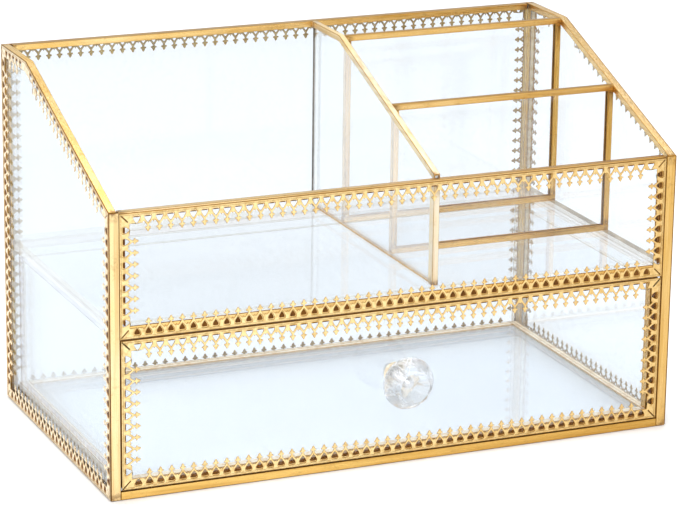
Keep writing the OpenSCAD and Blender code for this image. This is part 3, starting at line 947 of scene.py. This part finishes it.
def knob_crystal():
    """A cut crystal: rings of corners at chosen depths, closed by their convex hull into flat facets."""
    low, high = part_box("knob_head")
    length = high.y - low.y
    radius = (high.z - low.z) / 2
    bm = bmesh.new()
    for depth, share, corners, turn in CRYSTAL_RINGS:
        for i in range(corners):
            angle = 2 * math.pi * (i + turn) / corners
            bm.verts.new((
                KNOB.x + radius * share * math.cos(angle),
                low.y + depth * length,
                KNOB.z + radius * share * math.sin(angle),
            ))
    bmesh.ops.convex_hull(bm, input=bm.verts)
    loose = [v for v in bm.verts if not v.link_faces]
    bmesh.ops.delete(bm, geom=loose, context="VERTS")
    bmesh.ops.dissolve_limit(bm, angle_limit=math.radians(1.0), verts=bm.verts, edges=bm.edges)
    bmesh.ops.recalc_face_normals(bm, faces=bm.faces)
    bmesh.ops.bevel(
        bm, geom=bm.edges[:], offset=FACET_BEVEL, offset_type="OFFSET", segments=1, profile=0.5,
        affect="EDGES", clamp_overlap=True,
    )
    mesh = bpy.data.meshes.new("knob_head_crystal")
    bm.to_mesh(mesh)
    bm.free()
    mesh.materials.append(CRYSTAL)
    stand_for(link("knob_head_crystal", mesh), "knob_head")


def span(node):
    """Where a piece of the knob starts and ends along Y, and its radius."""
    low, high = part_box(node)
    return low.y, high.y, (high.z - low.z) / 2


def knob():
    """The crystal and the turned pieces that hold it to the drawer."""
    knob_crystal()
    y0, y1, r = span("knob_shank")
    turned("knob_shank", "_turned", CRYSTAL, [
        (y0, 0.0), (y0, r * 0.90), (y0 + 0.4 * MM, r * 0.99), (y0 + 1.2 * MM, r * 0.93),
        (y0 + 2.5 * MM, r * 0.88), (y1 - 1.2 * MM, r * 0.93), (y1 - 0.4 * MM, r * 0.99),
        (y1, r * 0.93), (y1, 0.0),
    ])
    y0, y1, r = span("knob_ferrule")
    turned("knob_ferrule", "_turned", LIT_CREAM_BRASS, [
        (y0, BORE), (y0, r * 0.72), (y0 + 0.1 * MM, r * 0.80), (y0 + 0.25 * MM, r * 0.84),
        (y0 + 0.2 * MM, r * 0.90), (y0 + 0.35 * MM, r * 0.97), (y0 + 0.6 * MM, r), (y1, r), (y1, BORE),
    ])
    y0, y1, r = span("knob_washer")
    turned("knob_washer", "_moulded", WASHER, [
        (y0, BORE), (y0, r * 0.96), (y0 + 0.2 * MM, r), (y1 - 0.2 * MM, r), (y1, r * 0.94), (y1, BORE),
    ])
    y0, y1, r = span("knob_screw")
    crest = y0 + SCREW_CHAMFER
    thread = [(y0, 0.0), (y0, r * 0.7), (crest, r)]
    while crest + THREAD_PITCH < y1 - 0.4 * MM:
        thread += [(crest + 0.5 * THREAD_PITCH, r * 0.82), (crest + THREAD_PITCH, r)]
        crest += THREAD_PITCH
    thread += [(y1, r * 0.75), (y1, 0.0)]
    turned("knob_screw", "_threaded", STEEL, thread, segments=24)
    rebuild("knob_nut", "_chamfered", [STEEL], lambda face: 0, NUT_CHAMFER, -1)


knob()


# ---------- floor, light and camera ----------

FLOOR_REACH = 6.0
FLOOR_DROP = 0.2 * MM


def stage_floor():
    """A pale floor, a hair below the box's own foot."""
    bm = bmesh.new()
    bmesh.ops.create_grid(bm, x_segments=8, y_segments=8, size=FLOOR_REACH)
    mesh = bpy.data.meshes.new("floor")
    bm.to_mesh(mesh)
    bm.free()
    mesh.materials.append(floor_material())
    floor = link("floor", mesh)
    floor.location = (0.0, 0.0, -FLOOR_DROP)


def studio_world():
    """White all round, a little greyer low down and on the right, so that metal and edges read."""
    world = bpy.data.worlds.new("studio")
    bpy.context.scene.world = world
    world.use_nodes = True
    tree = world.node_tree
    tree.nodes.clear()

    def add(kind, **inputs):
        node = tree.nodes.new("ShaderNode" + kind)
        for key, value in inputs.items():
            node.inputs[key.replace("_", " ")].default_value = value
        return node

    place = add("TexCoord")
    split = add("SeparateXYZ")
    tree.links.new(place.outputs["Generated"], split.inputs[0])
    rise = add("MapRange", From_Min=0.0, From_Max=0.45, To_Min=0.90, To_Max=1.0)
    tree.links.new(split.outputs["Z"], rise.inputs["Value"])
    across = add("MapRange", From_Min=-0.5, From_Max=1.0, To_Min=0.98, To_Max=0.72)
    tree.links.new(split.outputs["X"], across.inputs["Value"])
    product = add("Math")
    product.operation = "MULTIPLY"
    tree.links.new(rise.outputs[0], product.inputs[0])
    tree.links.new(across.outputs[0], product.inputs[1])
    background = add("Background", Color=(0.97, 0.985, 1.0, 1.0))
    tree.links.new(product.outputs[0], background.inputs["Strength"])
    output = add("OutputWorld")
    tree.links.new(background.outputs[0], output.inputs["Surface"])


def softbox(name, location, target, size, power, colour=(1.0, 1.0, 1.0)):
    """A broad lamp of a size in metres and a power in watts, facing its target."""
    light = bpy.data.lights.new(name, "AREA")
    light.shape = "RECTANGLE"
    light.size, light.size_y = size
    light.energy = power
    light.color = colour
    obj = link(name, light)
    obj.location = location
    obj.rotation_euler = (Vector(target) - Vector(location)).to_track_quat("-Z", "Y").to_euler()


def studio_camera():
    """The photograph's view: a long lens from the front left, a little above, and turned by a roll."""
    azimuth = math.radians(-23.34)
    elevation = math.radians(16.65)
    roll = math.radians(0.73)
    distance = 1.6324
    lens = 167.5
    aim_right, aim_down = 0.00225, 0.01293
    back = Vector((
        math.sin(azimuth) * math.cos(elevation),
        -math.cos(azimuth) * math.cos(elevation),
        math.sin(elevation),
    ))
    right = Vector((math.cos(azimuth), math.sin(azimuth), 0.0))
    up = back.cross(right)
    right_rolled = right * math.cos(roll) + up * math.sin(roll)
    up_rolled = up * math.cos(roll) - right * math.sin(roll)
    target = Vector((0.0, 0.0, 0.100)) + right_rolled * aim_right - up_rolled * aim_down
    data = bpy.data.cameras.new("camera")
    data.sensor_width = 36.0
    data.lens = lens
    data.clip_start, data.clip_end = 0.05, 50.0
    camera = link("camera", data)
    turn = Matrix((right_rolled, up_rolled, back)).transposed().to_4x4()
    camera.matrix_world = Matrix.Translation(target + back * distance) @ turn
    bpy.context.scene.camera = camera


stage_floor()
studio_world()
softbox("key", (-1.6, -1.2, 1.7), (0.0, 0.0, 0.08), (1.4, 1.4), 20.5, (1.0, 0.99, 0.97))
softbox("fill", (1.5, -1.4, 1.2), (0.0, 0.0, 0.1), (1.2, 1.2), 8.0, (0.97, 0.98, 1.0))
softbox("top", (0.1, 0.5, 1.9), (0.0, 0.0, 0.1), (1.8, 1.2), 16.0)
studio_camera()

scene = bpy.context.scene
scene.view_settings.view_transform = "Standard"

# A line of sight crosses a dozen sheets or more, and each has two faces.
scene.cycles.transparent_max_bounces = 40
scene.cycles.max_bounces = 16
scene.cycles.transmission_bounces = 12
scene.cycles.use_denoising = True
